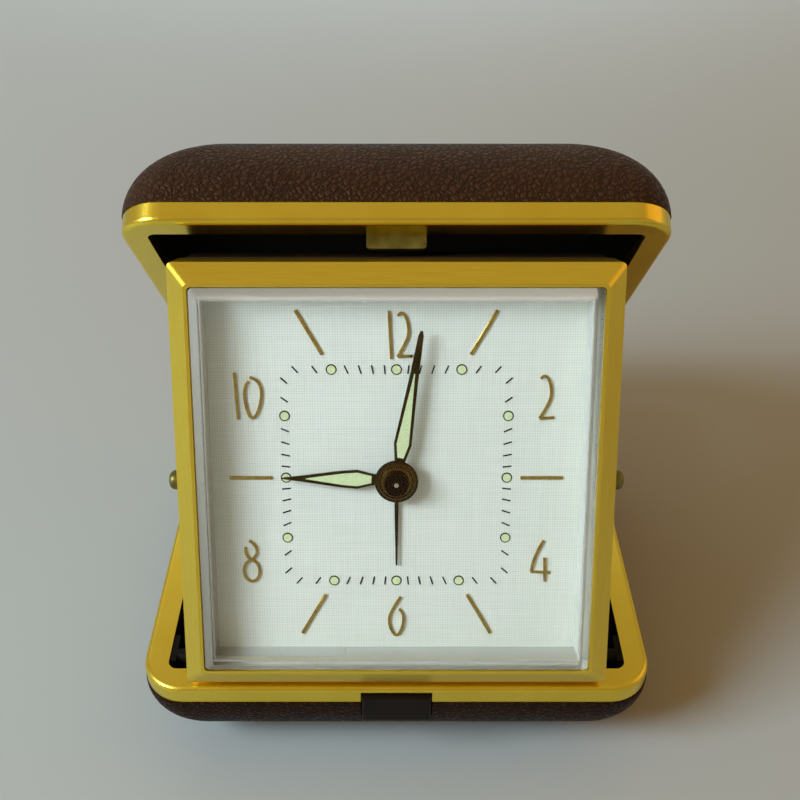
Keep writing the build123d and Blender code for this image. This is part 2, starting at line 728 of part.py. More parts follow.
# Gilt bars at the odd hours
corner_bar_middle = (corner_bar_start + corner_bar_end) / 2
side_bar_middle = (side_bar_start + side_bar_end) / 2
corner_bar_places = []
for turn in corner_bar_turns:
    across = corner_bar_middle * sin(radians(turn))
    along = corner_bar_middle * cos(radians(turn))
    corner_bar_places.append(Location((across, along, 0), (0, 0, -turn)))
side_bar_places = []
for turn in side_bar_turns:
    across = side_bar_middle * sin(radians(turn))
    along = side_bar_middle * cos(radians(turn))
    side_bar_places.append(Location((across, along, 0), (0, 0, -turn)))
with BuildPart() as hour_bars:
    with BuildSketch(dial_face):
        with Locations(*corner_bar_places):
            Rectangle(bar_width, corner_bar_end - corner_bar_start)
        with Locations(*side_bar_places):
            Rectangle(bar_width, side_bar_end - side_bar_start)
    extrude(amount=print_height)
hour_bars.part.label = "hour_bars"
export_step(hour_bars.part, "parts/hour_bars.step")

# Gilt figures at the even hours, drawn as thin strokes
figure_curves = [
    (twelve_two_at_shares, two_curve_shares),
    (two_at_shares, two_curve_shares),
    (four_at_shares, four_slope_shares),
    (six_at_shares, six_shares),
    (eight_at_shares, eight_right_shares),
    (eight_at_shares, eight_left_shares),
    (ten_nought_at_shares, nought_shares),
]
figure_lines = [
    (twelve_one_at_shares, one_shares),
    (twelve_two_at_shares, two_foot_shares),
    (two_at_shares, two_foot_shares),
    (four_at_shares, four_bar_shares),
    (four_at_shares, four_post_shares),
    (ten_one_at_shares, one_shares),
]
with BuildPart() as hour_figures:
    with BuildSketch(dial_face):
        bowl_middle = dial_side * eight_at_shares[1] + figure_height * eight_bowl_share
        with Locations((dial_side * eight_at_shares[0], bowl_middle)):
            Ellipse(bowl_across + figure_stroke / 2, bowl_up + figure_stroke / 2)
            Ellipse(bowl_across - figure_stroke / 2, bowl_up - figure_stroke / 2, mode=Mode.SUBTRACT)
        for place, shares in figure_curves:
            across = [dial_side * place[0] + figure_height * share[0] for share in shares]
            up = [dial_side * place[1] + figure_height * share[1] for share in shares]
            with BuildLine():
                Spline(*zip(across, up))
            trace(line_width=figure_stroke)
        for place, shares in figure_lines:
            across = [dial_side * place[0] + figure_height * share[0] for share in shares]
            up = [dial_side * place[1] + figure_height * share[1] for share in shares]
            with BuildLine():
                Polyline(*zip(across, up))
            trace(line_width=figure_stroke)
    extrude(amount=print_height)
hour_figures.part.label = "hour_figures"
export_step(hour_figures.part, "parts/hour_figures.step")

# Head case: a square box with a plug that stands in the bezel's pocket
case_bottom = case_width / 2
case_top = case_width / 2 + case_top_proud
case_middle = (case_top - case_bottom) / 2
corner_signs = [(across, up) for across in (-1, 1) for up in (-1, 1)]
screw_points = [(sign[0] * cover_screw_offset, sign[1] * cover_screw_offset) for sign in corner_signs]
with BuildPart() as head_case:
    with BuildSketch(head_plane.offset(-case_depth)):
        with Locations((0, case_middle)):
            RectangleRounded(case_width, case_bottom + case_top, case_corner)
    extrude(amount=case_depth - skirt_depth)
    fillet(head_case.faces().sort_by(head_out)[0].outer_wire().edges(), case_round)
    with BuildSketch(head_plane.offset(-skirt_depth)):
        Rectangle(case_width, case_width)
    extrude(amount=skirt_depth - dial_depth - dial_sheet)
    with BuildSketch(head_plane.offset(-case_depth)):
        Rectangle(movement_side, movement_side)
    extrude(amount=case_depth, mode=Mode.SUBTRACT)
    with BuildSketch(head_plane.offset(-case_depth)):
        with Locations(*screw_points):
            Circle(cover_screw_radius)
    extrude(amount=cover_screw_length, mode=Mode.SUBTRACT)
    pivot_plane = Plane(
        origin=head_plane.from_local_coords((-case_width, -head_pivot_low, -head_pivot_depth)),
        x_dir=head_plane.y_dir,
        z_dir=(1, 0, 0),
    )
    with BuildSketch(pivot_plane):
        Circle(pivot_screw_radius)
    extrude(amount=2 * case_width, mode=Mode.SUBTRACT)
head_case.part.label = "head_case"
export_step(head_case.part, "parts/head_case.step")

# Back cover with holes for the keys and knobs
with BuildPart() as back_cover:
    with BuildSketch(head_plane.offset(-case_depth - cover_sheet)):
        with Locations((0, case_middle)):
            Rectangle(case_width - case_round, case_bottom + case_top - case_round)
        with Locations(*screw_points):
            Circle(cover_screw_radius, mode=Mode.SUBTRACT)
        with Locations(time_barrel_at, alarm_barrel_at):
            Circle(key_arbor_radius + cover_hole_play, mode=Mode.SUBTRACT)
        with Locations((0, 0), (0, alarm_set_offset)):
            Circle(arbor_radius + cover_hole_play, mode=Mode.SUBTRACT)
    extrude(amount=cover_sheet)
back_cover.part.label = "back_cover"
export_step(back_cover.part, "parts/back_cover.step")

with BuildPart() as back_screws:
    with BuildSketch(head_plane.offset(-case_depth - cover_sheet)):
        with Locations(*screw_points):
            Circle(cover_screw_radius)
    extrude(amount=cover_screw_length)
    with BuildSketch(head_plane.offset(-case_depth - cover_sheet - cover_screw_head)):
        with Locations(*screw_points):
            Circle(cover_screw_head_radius)
    extrude(amount=cover_screw_head)
back_screws.part.label = "back_screws"
export_step(back_screws.part, "parts/back_screws.step")

# Hands, each drawn along X of its own turned plane
minute_way = head_plane.x_dir * sin(radians(minute_turn)) + head_plane.y_dir * cos(radians(minute_turn))
hour_way = head_plane.x_dir * sin(radians(hour_turn)) + head_plane.y_dir * cos(radians(hour_turn))
alarm_way = head_plane.x_dir * sin(radians(alarm_turn)) + head_plane.y_dir * cos(radians(alarm_turn))
minute_plane = Plane(origin=head_plane.origin, x_dir=minute_way, z_dir=head_plane.z_dir)
hour_plane = Plane(origin=head_plane.origin, x_dir=hour_way, z_dir=head_plane.z_dir)
alarm_plane = Plane(origin=head_plane.origin, x_dir=alarm_way, z_dir=head_plane.z_dir)

minute_leaf = minute_length - leaf_root
minute_core_half = minute_half_width - hand_outline
minute_edge = [
    (leaf_root + minute_leaf * share[0], minute_half_width * share[1])
    for share in minute_leaf_shares
]
minute_core = [
    (leaf_root + minute_leaf * share[0], minute_core_half * share[1])
    for share in minute_lume_shares
]
minute_edge_back = [(point[0], -point[1]) for point in reversed(minute_edge)]
minute_core_back = [(point[0], -point[1]) for point in reversed(minute_core)]
with BuildPart() as minute_hand:
    with BuildSketch(minute_plane.offset(-minute_hand_depth)):
        with BuildLine():
            Polyline(*minute_edge, *minute_edge_back, close=True)
        make_face()
        Circle(hand_boss_radius + hand_outline)
        with BuildLine():
            Polyline(*minute_core, *minute_core_back, close=True)
        make_face(mode=Mode.SUBTRACT)
        Circle(arbor_radius, mode=Mode.SUBTRACT)
    extrude(amount=hand_sheet)
minute_hand.part.label = "minute_hand"
export_step(minute_hand.part, "parts/minute_hand.step")

with BuildPart() as minute_hand_lume:
    with BuildSketch(minute_plane.offset(-minute_hand_depth)):
        with BuildLine():
            Polyline(*minute_core, *minute_core_back, close=True)
        make_face()
        Circle(hand_boss_radius + hand_outline, mode=Mode.SUBTRACT)
    extrude(amount=hand_sheet)
minute_hand_lume.part.label = "minute_hand_lume"
export_step(minute_hand_lume.part, "parts/minute_hand_lume.step")

hour_leaf = hour_length - leaf_root
hour_core_half = hour_half_width - hand_outline
hour_edge = [
    (leaf_root + hour_leaf * share[0], hour_half_width * share[1])
    for share in hour_leaf_shares
]
hour_core = [
    (leaf_root + hour_leaf * share[0], hour_core_half * share[1])
    for share in hour_lume_shares
]
hour_edge_back = [(point[0], -point[1]) for point in reversed(hour_edge)]
hour_core_back = [(point[0], -point[1]) for point in reversed(hour_core)]
with BuildPart() as hour_hand:
    with BuildSketch(hour_plane.offset(-hour_hand_depth)):
        with BuildLine():
            Polyline(*hour_edge, *hour_edge_back, close=True)
        make_face()
        Circle(hand_boss_radius + hand_outline)
        with BuildLine():
            Polyline(*hour_core, *hour_core_back, close=True)
        make_face(mode=Mode.SUBTRACT)
        Circle(hour_pipe_radius, mode=Mode.SUBTRACT)
    extrude(amount=hand_sheet)
hour_hand.part.label = "hour_hand"
export_step(hour_hand.part, "parts/hour_hand.step")

with BuildPart() as hour_hand_lume:
    with BuildSketch(hour_plane.offset(-hour_hand_depth)):
        with BuildLine():
            Polyline(*hour_core, *hour_core_back, close=True)
        make_face()
        Circle(hand_boss_radius + hand_outline, mode=Mode.SUBTRACT)
    extrude(amount=hand_sheet)
hour_hand_lume.part.label = "hour_hand_lume"
export_step(hour_hand_lume.part, "parts/hour_hand_lume.step")

with BuildPart() as alarm_hand:
    with BuildSketch(alarm_plane.offset(-alarm_hand_depth)):
        with BuildLine():
            Polyline(
                (0, alarm_half_width),
                (alarm_length, alarm_tip_half_width),
                (alarm_length, -alarm_tip_half_width),
                (0, -alarm_half_width),
                close=True,
            )
        make_face()
        Circle(hand_boss_radius)
        Circle(alarm_pipe_radius, mode=Mode.SUBTRACT)
    extrude(amount=hand_sheet)
alarm_hand.part.label = "alarm_hand"
export_step(alarm_hand.part, "parts/alarm_hand.step")

nut_back = hand_sheet - minute_hand_depth
with BuildPart() as hand_nut:
    with BuildSketch(head_plane.offset(nut_back)):
        Circle(nut_radius)
    extrude(amount=nut_sheet)
    with BuildSketch(head_plane.offset(nut_back + nut_sheet)):
        Circle(nut_step_radius)
    extrude(amount=nut_step)
    with BuildSketch(head_plane.offset(nut_back + nut_sheet + nut_step)):
        Circle(nut_pin_radius)
    extrude(amount=nut_pin)
hand_nut.part.label = "hand_nut"
export_step(hand_nut.part, "parts/hand_nut.step")

# Movement plates with their bearing holes and pillars
staff_points = [third_at, escape_at, pallet_at, balance_at, hammer_at]
pillar_points = [(sign[0] * pillar_offset, sign[1] * pillar_offset) for sign in corner_signs]
with BuildPart() as front_plate:
    with BuildSketch(head_plane.offset(-front_plate_back)):
        Rectangle(movement_side, movement_side)
        with Locations((0, 0), (0, alarm_set_offset)):
            Circle(arbor_radius + bearing_fit, mode=Mode.SUBTRACT)
        with Locations(*staff_points):
            Circle(pivot_radius + bearing_fit, mode=Mode.SUBTRACT)
    extrude(amount=front_plate_back - front_plate_front)
    with BuildSketch(head_plane.offset(-front_plate_front)):
        with Locations((motion_offset, 0)):
            Circle(motion_post_radius)
    extrude(amount=front_plate_front - motion_pinion_front)
front_plate.part.label = "front_plate"
export_step(front_plate.part, "parts/front_plate.step")

with BuildPart() as back_plate:
    with BuildSketch(head_plane.offset(-back_plate_back)):
        Rectangle(back_plate_side, back_plate_side)
        with Locations((0, 0), (0, alarm_set_offset)):
            Circle(arbor_radius + bearing_fit, mode=Mode.SUBTRACT)
        with Locations(*staff_points):
            Circle(pivot_radius + bearing_fit, mode=Mode.SUBTRACT)
        with Locations(time_barrel_at, alarm_barrel_at):
            Circle(key_arbor_radius + bearing_fit, mode=Mode.SUBTRACT)
    extrude(amount=back_plate_back - back_plate_front)
back_plate.part.label = "back_plate"
export_step(back_plate.part, "parts/back_plate.step")

with BuildPart() as plate_pillars:
    with BuildSketch(head_plane.offset(-back_plate_front)):
        with Locations(*pillar_points):
            Circle(pillar_radius)
    extrude(amount=back_plate_front - front_plate_back)
plate_pillars.part.label = "plate_pillars"
export_step(plate_pillars.part, "parts/plate_pillars.step")

# Centre arbor with the pinion that drives the motion work, and its setting knob
with BuildPart() as centre_arbor:
    with BuildSketch(head_plane.offset(-knob_back)):
        Circle(arbor_radius)
    extrude(amount=knob_back + nut_back)
    with BuildSketch(head_plane.offset(-cannon_back)):
        Circle(cannon_radius)
    extrude(amount=cannon_back - cannon_front - bearing_fit)
centre_arbor.part.label = "centre_arbor"
export_step(centre_arbor.part, "parts/centre_arbor.step")

with BuildPart() as time_set_knob:
    with BuildSketch(head_plane.offset(-knob_back)):
        Circle(set_knob_radius)
        Circle(arbor_radius, mode=Mode.SUBTRACT)
    extrude(amount=knob_back - knob_front)
time_set_knob.part.label = "time_set_knob"
export_step(time_set_knob.part, "parts/time_set_knob.step")

with BuildPart() as minute_wheel:
    with BuildSketch(head_plane.offset(-motion_wheel_back)):
        with Locations((motion_offset, 0)):
            Circle(motion_wheel_radius)
            Circle(motion_post_radius + bearing_fit, mode=Mode.SUBTRACT)
    extrude(amount=motion_wheel_back - motion_wheel_front)
    with BuildSketch(head_plane.offset(-motion_wheel_front)):
        with Locations((motion_offset, 0)):
            Circle(motion_pinion_radius)
            Circle(motion_post_radius + bearing_fit, mode=Mode.SUBTRACT)
    extrude(amount=motion_wheel_front - motion_pinion_front)
minute_wheel.part.label = "minute_wheel"
export_step(minute_wheel.part, "parts/minute_wheel.step")

hour_pipe_front = hour_hand_depth - hand_sheet
with BuildPart() as hour_wheel:
    with BuildSketch(head_plane.offset(-hour_wheel_back)):
        Circle(hour_wheel_radius)
    extrude(amount=hour_wheel_back - hour_wheel_front)
    with BuildSketch(head_plane.offset(-hour_wheel_back)):
        Circle(hour_pipe_radius)
    extrude(amount=hour_wheel_back - hour_pipe_front)
    with BuildSketch(head_plane.offset(-hour_wheel_back)):
        Circle(hour_pipe_bore)
    extrude(amount=hour_wheel_back, mode=Mode.SUBTRACT)
hour_wheel.part.label = "hour_wheel"
export_step(hour_wheel.part, "parts/hour_wheel.step")

alarm_pipe_front = alarm_hand_depth - hand_sheet
with BuildPart() as alarm_wheel:
    with BuildSketch(head_plane.offset(-alarm_wheel_back)):
        Circle(alarm_wheel_radius)
    extrude(amount=alarm_wheel_back - alarm_wheel_front)
    with BuildSketch(head_plane.offset(-alarm_wheel_back)):
        Circle(alarm_pipe_radius)
    extrude(amount=alarm_wheel_back - alarm_pipe_front)
    with BuildSketch(head_plane.offset(-alarm_wheel_back)):
        Circle(alarm_pipe_bore)
    extrude(amount=alarm_wheel_back, mode=Mode.SUBTRACT)
alarm_wheel.part.label = "alarm_wheel"
export_step(alarm_wheel.part, "parts/alarm_wheel.step")

with BuildPart() as alarm_set_knob:
    with BuildSketch(head_plane.offset(-knob_back)):
        with Locations((0, alarm_set_offset)):
            Circle(set_knob_radius)
    extrude(amount=knob_back - knob_front)
    with BuildSketch(head_plane.offset(-knob_front)):
        with Locations((0, alarm_set_offset)):
            Circle(arbor_radius)
    extrude(amount=knob_front - alarm_set_front)
    with BuildSketch(head_plane.offset(-alarm_wheel_back)):
        with Locations((0, alarm_set_offset)):
            Circle(alarm_set_pinion)
    extrude(amount=alarm_wheel_back - alarm_set_front)
alarm_set_knob.part.label = "alarm_set_knob"
export_step(alarm_set_knob.part, "parts/alarm_set_knob.step")

# Barrels and the winding keys on their arbors
with BuildPart() as time_barrel:
    with BuildSketch(head_plane.offset(-barrel_back)):
        with Locations(time_barrel_at):
            Circle(time_barrel_radius)
            Circle(key_arbor_radius + bearing_fit, mode=Mode.SUBTRACT)
    extrude(amount=barrel_back - barrel_front)
time_barrel.part.label = "time_barrel"
export_step(time_barrel.part, "parts/time_barrel.step")

with BuildPart() as alarm_barrel:
    with BuildSketch(head_plane.offset(-barrel_back)):
        with Locations(alarm_barrel_at):
            Circle(alarm_barrel_radius)
            Circle(key_arbor_radius + bearing_fit, mode=Mode.SUBTRACT)
    extrude(amount=barrel_back - barrel_front)
alarm_barrel.part.label = "alarm_barrel"
export_step(alarm_barrel.part, "parts/alarm_barrel.step")

with BuildPart() as time_key:
    with BuildSketch(head_plane.offset(-knob_front)):
        with Locations(time_barrel_at):
            Circle(key_arbor_radius)
    extrude(amount=knob_front - key_arbor_front)
    with BuildSketch(head_plane.offset(-knob_front - key_boss_length)):
        with Locations(time_barrel_at):
            Circle(key_boss_radius)
    extrude(amount=key_boss_length)
    with BuildSketch(head_plane.offset(-knob_back)):
        with Locations(time_barrel_at):
            SlotOverall(key_wing_length, key_wing_width)
    extrude(amount=knob_back - knob_front)
time_key.part.label = "time_key"
export_step(time_key.part, "parts/time_key.step")

with BuildPart() as alarm_key:
    with BuildSketch(head_plane.offset(-knob_front)):
        with Locations(alarm_barrel_at):
            Circle(key_arbor_radius)
    extrude(amount=knob_front - key_arbor_front)
    with BuildSketch(head_plane.offset(-knob_front - key_boss_length)):
        with Locations(alarm_barrel_at):
            Circle(key_boss_radius)
    extrude(amount=key_boss_length)
    with BuildSketch(head_plane.offset(-knob_back)):
        with Locations(alarm_barrel_at):
            SlotOverall(key_wing_length, key_wing_width)
    extrude(amount=knob_back - knob_front)
alarm_key.part.label = "alarm_key"
export_step(alarm_key.part, "parts/alarm_key.step")

# Going train and escapement
with BuildPart() as third_wheel:
    with BuildSketch(head_plane.offset(-staff_back)):
        with Locations(third_at):
            Circle(pivot_radius)
    extrude(amount=staff_back - staff_front)
    with BuildSketch(head_plane.offset(-third_pinion_back)):
        with Locations(third_at):
            Circle(third_pinion_radius)
    extrude(amount=third_pinion_back - third_pinion_front)
    with BuildSketch(head_plane.offset(-third_wheel_back)):
        with Locations(third_at):
            Circle(third_wheel_radius)
    extrude(amount=third_wheel_back - third_wheel_front)
third_wheel.part.label = "third_wheel"
export_step(third_wheel.part, "parts/third_wheel.step")

with BuildPart() as escape_wheel:
    with BuildSketch(head_plane.offset(-staff_back)):
        with Locations(escape_at):
            Circle(pivot_radius)
    extrude(amount=staff_back - staff_front)
    with BuildSketch(head_plane.offset(-escape_pinion_back)):
        with Locations(escape_at):
            Circle(escape_pinion_radius)
    extrude(amount=escape_pinion_back - escape_pinion_front)
    with BuildSketch(head_plane.offset(-escape_wheel_back)):
        with Locations(escape_at):
            Circle(escape_wheel_radius)
    extrude(amount=escape_wheel_back - escape_wheel_front)
escape_wheel.part.label = "escape_wheel"
export_step(escape_wheel.part, "parts/escape_wheel.step")

with BuildPart() as pallet_lever:
    with BuildSketch(head_plane.offset(-staff_back)):
        with Locations(pallet_at):
            Circle(pivot_radius)
    extrude(amount=staff_back - staff_front)
    with BuildSketch(head_plane.offset(-escape_wheel_back)):
        with Locations(pallet_at):
            Rectangle(pallet_length, pallet_width)
        with Locations((pallet_at[0], pallet_at[1] + pallet_fork / 2)):
            Rectangle(pallet_width, pallet_fork)
    extrude(amount=escape_wheel_back - escape_wheel_front)
pallet_lever.part.label = "pallet_lever"
export_step(pallet_lever.part, "parts/pallet_lever.step")

with BuildPart() as balance_wheel:
    with BuildSketch(head_plane.offset(-staff_back)):
        with Locations(balance_at):
            Circle(pivot_radius)
    extrude(amount=staff_back - staff_front)
    with BuildSketch(head_plane.offset(-balance_back)):
        with Locations(balance_at):
            Circle(balance_radius)
            Circle(balance_radius - balance_rim, mode=Mode.SUBTRACT)
            Rectangle(2 * balance_radius - balance_rim, balance_spoke)
    extrude(amount=balance_back - balance_front)
balance_wheel.part.label = "balance_wheel"
export_step(balance_wheel.part, "parts/balance_wheel.step")

with BuildPart() as alarm_hammer:
    with BuildSketch(head_plane.offset(-staff_back)):
        with Locations(hammer_at):
            Circle(pivot_radius)
    extrude(amount=staff_back - staff_front)
    with BuildSketch(head_plane.offset(-hammer_back)):
        with Locations((hammer_at[0], hammer_at[1] + hammer_length / 2)):
            Rectangle(hammer_width, hammer_length)
        with Locations((hammer_at[0], hammer_at[1] + hammer_length)):
            Rectangle(hammer_head, hammer_head)
        with Locations(hammer_at):
            Circle(hammer_width)
    extrude(amount=hammer_back - hammer_front)
alarm_hammer.part.label = "alarm_hammer"
export_step(alarm_hammer.part, "parts/alarm_hammer.step")

# Arms from the base's rim to the head's sides, drawn in a YZ plane
arm_pivot = (arm_pivot_back - shell_half, shell_height - arm_pivot_drop)
head_pivot_point = head_plane.from_local_coords((0, -head_pivot_low, -head_pivot_depth))
head_pivot = (head_pivot_point.Y, head_pivot_point.Z)
arm_section = Plane(origin=(0, 0, 0), x_dir=(0, 1, 0), z_dir=(1, 0, 0))
with BuildPart() as left_arm:
    with BuildSketch(arm_section.offset(-arm_inner - arm_sheet)):
        with BuildLine():
            Line(arm_pivot, head_pivot)
        trace(line_width=2 * arm_half_width)
        with Locations(arm_pivot):
            Circle(arm_boss_radius)
        with Locations(head_pivot):
            Circle(arm_half_width)
        with Locations(arm_pivot):
            Circle(pivot_pin_radius + pivot_fit, mode=Mode.SUBTRACT)
        with Locations(head_pivot):
            Circle(pivot_screw_radius, mode=Mode.SUBTRACT)
    extrude(amount=arm_sheet)
left_arm.part.label = "left_arm"
export_step(left_arm.part, "parts/left_arm.step")

with BuildPart() as right_arm:
    with BuildSketch(arm_section.offset(arm_inner)):
        with BuildLine():
            Line(arm_pivot, head_pivot)
        trace(line_width=2 * arm_half_width)
        with Locations(arm_pivot):
            Circle(arm_boss_radius)
        with Locations(head_pivot):
            Circle(arm_half_width)
        with Locations(arm_pivot):
            Circle(pivot_pin_radius + pivot_fit, mode=Mode.SUBTRACT)
        with Locations(head_pivot):
            Circle(pivot_screw_radius, mode=Mode.SUBTRACT)
    extrude(amount=arm_sheet)
right_arm.part.label = "right_arm"
export_step(right_arm.part, "parts/right_arm.step")

# Screws that hold the head on its arms
arm_outer = arm_inner + arm_sheet
grip_start = case_width / 2 - pivot_screw_grip
with BuildPart() as head_pivot_screws:
    with BuildSketch(arm_section.offset(grip_start)):
        with Locations(head_pivot):
            Circle(pivot_screw_radius)
    extrude(amount=arm_outer - grip_start)
    with BuildSketch(arm_section.offset(arm_outer)):
        with Locations(head_pivot):
            Circle(pivot_screw_head_radius)
    extrude(amount=pivot_screw_head)
    fillet(head_pivot_screws.faces().sort_by(Axis.X)[-1].edges(), pivot_screw_round)
    mirror(about=Plane.YZ)
head_pivot_screws.part.label = "head_pivot_screws"
export_step(head_pivot_screws.part, "parts/head_pivot_screws.step")

# Brackets on the base rim's lip, and the shouldered pins that the arms turn on
with BuildPart() as arm_brackets:
    with BuildSketch(arm_section.offset(opening_half - bracket_sheet)):
        bracket_y = (bracket_front + bracket_back) / 2 - shell_half
        bracket_z = shell_height - (bracket_top + bracket_bottom) / 2
        with Locations((bracket_y, bracket_z)):
            Rectangle(bracket_back - bracket_front, bracket_bottom - bracket_top)
        with Locations(arm_pivot):
            Circle(pivot_pin_radius, mode=Mode.SUBTRACT)
    extrude(amount=bracket_sheet)
    mirror(about=Plane.YZ)
arm_brackets.part.label = "arm_brackets"
export_step(arm_brackets.part, "parts/arm_brackets.step")

with BuildPart() as arm_pivot_pins:
    with BuildSketch(arm_section.offset(arm_inner)):
        with Locations(arm_pivot):
            Circle(pivot_pin_radius)
    extrude(amount=opening_half - arm_inner)
    with BuildSketch(arm_section.offset(arm_outer + pivot_fit)):
        with Locations(arm_pivot):
            Circle(pivot_shoulder_radius)
    extrude(amount=opening_half - bracket_sheet - arm_outer - pivot_fit)
    mirror(about=Plane.YZ)
arm_pivot_pins.part.label = "arm_pivot_pins"
export_step(arm_pivot_pins.part, "parts/arm_pivot_pins.step")
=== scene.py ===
import json
import math

import bmesh
import bpy
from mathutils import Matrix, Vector


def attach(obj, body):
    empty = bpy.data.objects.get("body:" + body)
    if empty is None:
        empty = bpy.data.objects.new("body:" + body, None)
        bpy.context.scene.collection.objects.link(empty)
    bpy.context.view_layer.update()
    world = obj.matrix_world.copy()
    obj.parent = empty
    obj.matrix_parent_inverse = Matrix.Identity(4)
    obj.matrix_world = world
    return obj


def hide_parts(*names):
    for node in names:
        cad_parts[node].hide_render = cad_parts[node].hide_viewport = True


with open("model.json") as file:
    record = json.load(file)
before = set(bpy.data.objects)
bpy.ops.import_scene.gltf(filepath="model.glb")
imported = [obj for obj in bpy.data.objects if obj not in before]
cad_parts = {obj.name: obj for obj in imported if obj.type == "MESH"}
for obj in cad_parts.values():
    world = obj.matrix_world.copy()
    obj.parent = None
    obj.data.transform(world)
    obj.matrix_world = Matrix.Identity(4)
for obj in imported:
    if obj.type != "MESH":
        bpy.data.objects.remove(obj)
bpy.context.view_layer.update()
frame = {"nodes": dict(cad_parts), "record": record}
nodes = frame["nodes"]
scene = bpy.context.scene

# The clock head: its lean, the way its dial faces, and the middle of the bezel's front
LEAN = math.radians(24.1)
OUTWARD = Vector((0.0, -math.cos(LEAN), math.sin(LEAN)))
HEAD_SIDE = 0.0643
HEAD_FOOT_Y, HEAD_FOOT_Z = -0.04045, 0.02032
HEAD_ORIGIN = (
    0.0,
    HEAD_FOOT_Y + HEAD_SIDE / 2 * math.sin(LEAN),
    HEAD_FOOT_Z + HEAD_SIDE / 2 * math.cos(LEAN),
)

# Dial: the linen's threads, and the rounding and rise of the gilt figures and bars
THREAD_PITCH = 0.00038
FIGURE_ROUNDING = 0.00015
BAR_ROUNDING = 0.00018
GILT_RISE = 0.00017

# Hub: its back below the bezel's front, and its section as radius and rise, from the rim to the pin
HUB_RADIUS = 0.0032
HUB_BACK = -0.00065
HUB_STEPS = 72
HUB_PROFILE = (
    (HUB_RADIUS, 0.0), (HUB_RADIUS, 0.00022), (0.00312, 0.00031), (0.00300, 0.00034),
    (0.00282, 0.00034), (0.00274, 0.00042), (0.00258, 0.00058), (0.00246, 0.00058),
    (0.00238, 0.00052), (0.00222, 0.00070), (0.00195, 0.00074), (0.00188, 0.00074),
    (0.00185, 0.00080), (0.00185, 0.00150), (0.00180, 0.00160), (0.00168, 0.00165),
    (0.00045, 0.00165), (0.00040, 0.00169), (0.00040, 0.00184), (0.00034, 0.00191), (0.00020, 0.00195),
)

# Rings round the luminous dots: the dots' square track, and the ring's section as radius and rise
DIAL_DEPTH = 0.0025
DOT_TRACK = 0.0164
DOT_RADIUS = 0.00072
RING_OUTER = DOT_RADIUS + 0.00008
RING_INNER = DOT_RADIUS - 0.00010
RING_STEPS = 32
RING_PROFILE = ((RING_OUTER, 0.0), (DOT_RADIUS, 0.00013), (RING_INNER, 0.00009), (RING_INNER, 0.0))

# Crystal: where its walls begin, where the right chamfer's clear part begins, and the walls' reach
WALL_START = (0.0270, 0.0275)
CHAMFER_START = (0.02750, 0.02775)
WALL_REACH = 0.029

# Sockets of Blender's Mix node that share their names
FACTOR, FLOAT_A, FLOAT_B, COLOUR_A, COLOUR_B = 0, 2, 3, 6, 7
FLOAT_OUT, COLOUR_OUT = 0, 2


def fill_ramp(ramp, stops):
    """Sets a colour ramp's stops, each a place and a colour."""
    while len(ramp.elements) < len(stops):
        ramp.elements.new(0.5)
    for element, (place, colour) in zip(ramp.elements, stops):
        element.position = place
        element.color = (*colour, 1.0)


class Shader:
    """A node material with one Principled shader, and short calls for the nodes that feed it."""

    def __init__(self, name, **sockets):
        self.material = bpy.data.materials.new(name)
        self.material.use_nodes = True
        self.tree = self.material.node_tree
        self.principled = next(n for n in self.tree.nodes if n.type == "BSDF_PRINCIPLED")
        for key, value in sockets.items():
            self.principled.inputs[key.replace("_", " ")].default_value = value

    def node(self, kind, **settings):
        made = self.tree.nodes.new(kind)
        for key, value in settings.items():
            setattr(made, key, value)
        return made

    def link(self, out, socket):
        self.tree.links.new(out, socket)

    def set(self, socket, value):
        if isinstance(value, bpy.types.NodeSocket):
            self.link(value, socket)
        else:
            socket.default_value = value

    def feed(self, node, **sockets):
        for key, value in sockets.items():
            self.set(node.inputs[key.replace("_", " ")], value)
        return node

    def place(self, scale=(1, 1, 1), head=False):
        """Coordinates in metres, either the row frame's or the clock head's own (across, up, out)."""
        coord = self.node("ShaderNodeTexCoord").outputs["Object"]
        if head:
            moved = self.node("ShaderNodeVectorMath", operation="SUBTRACT")
            self.link(coord, moved.inputs[0])
            moved.inputs[1].default_value = HEAD_ORIGIN
            turned = self.node("ShaderNodeVectorRotate", rotation_type="X_AXIS")
            self.feed(turned, Vector=moved.outputs[0], Angle=LEAN - math.pi / 2)
            coord = turned.outputs[0]
        mapped = self.node("ShaderNodeMapping")
        self.feed(mapped, Vector=coord, Scale=scale)
        return mapped.outputs[0]

    def head_axes(self):
        """The clock head's coordinates one by one: across, up and out."""
        split = self.node("ShaderNodeSeparateXYZ")
        self.link(self.place(head=True), split.inputs[0])
        return split.outputs

    def noise(self, where, scale, detail=3.0, rough=0.5):
        made = self.node("ShaderNodeTexNoise")
        self.feed(made, Vector=where, Scale=scale, Detail=detail, Roughness=rough)
        return made.outputs["Fac"]

    def ramp(self, value, *stops):
        made = self.node("ShaderNodeValToRGB")
        self.link(value, made.inputs[0])
        fill_ramp(made.color_ramp, stops)
        return made.outputs["Color"]

    def span(self, value, low, high, start=0.0, end=1.0):
        made = self.node("ShaderNodeMapRange")
        self.feed(made, Value=value, From_Min=start, From_Max=end, To_Min=low, To_Max=high)
        return made.outputs[0]

    def math(self, operation, a, b=0.0):
        made = self.node("ShaderNodeMath", operation=operation)
        self.set(made.inputs[0], a)
        self.set(made.inputs[1], b)
        return made.outputs[0]

    def bump(self, height, strength, distance, before=None):
        made = self.node("ShaderNodeBump")
        self.feed(made, Height=height, Strength=strength, Distance=distance)
        if before is not None:
            self.link(before, made.inputs["Normal"])
        return made.outputs[0]

    def colour(self, value):
        self.link(value, self.principled.inputs["Base Color"])

    def rough(self, value):
        self.link(value, self.principled.inputs["Roughness"])

    def normal(self, value):
        self.link(value, self.principled.inputs["Normal"])


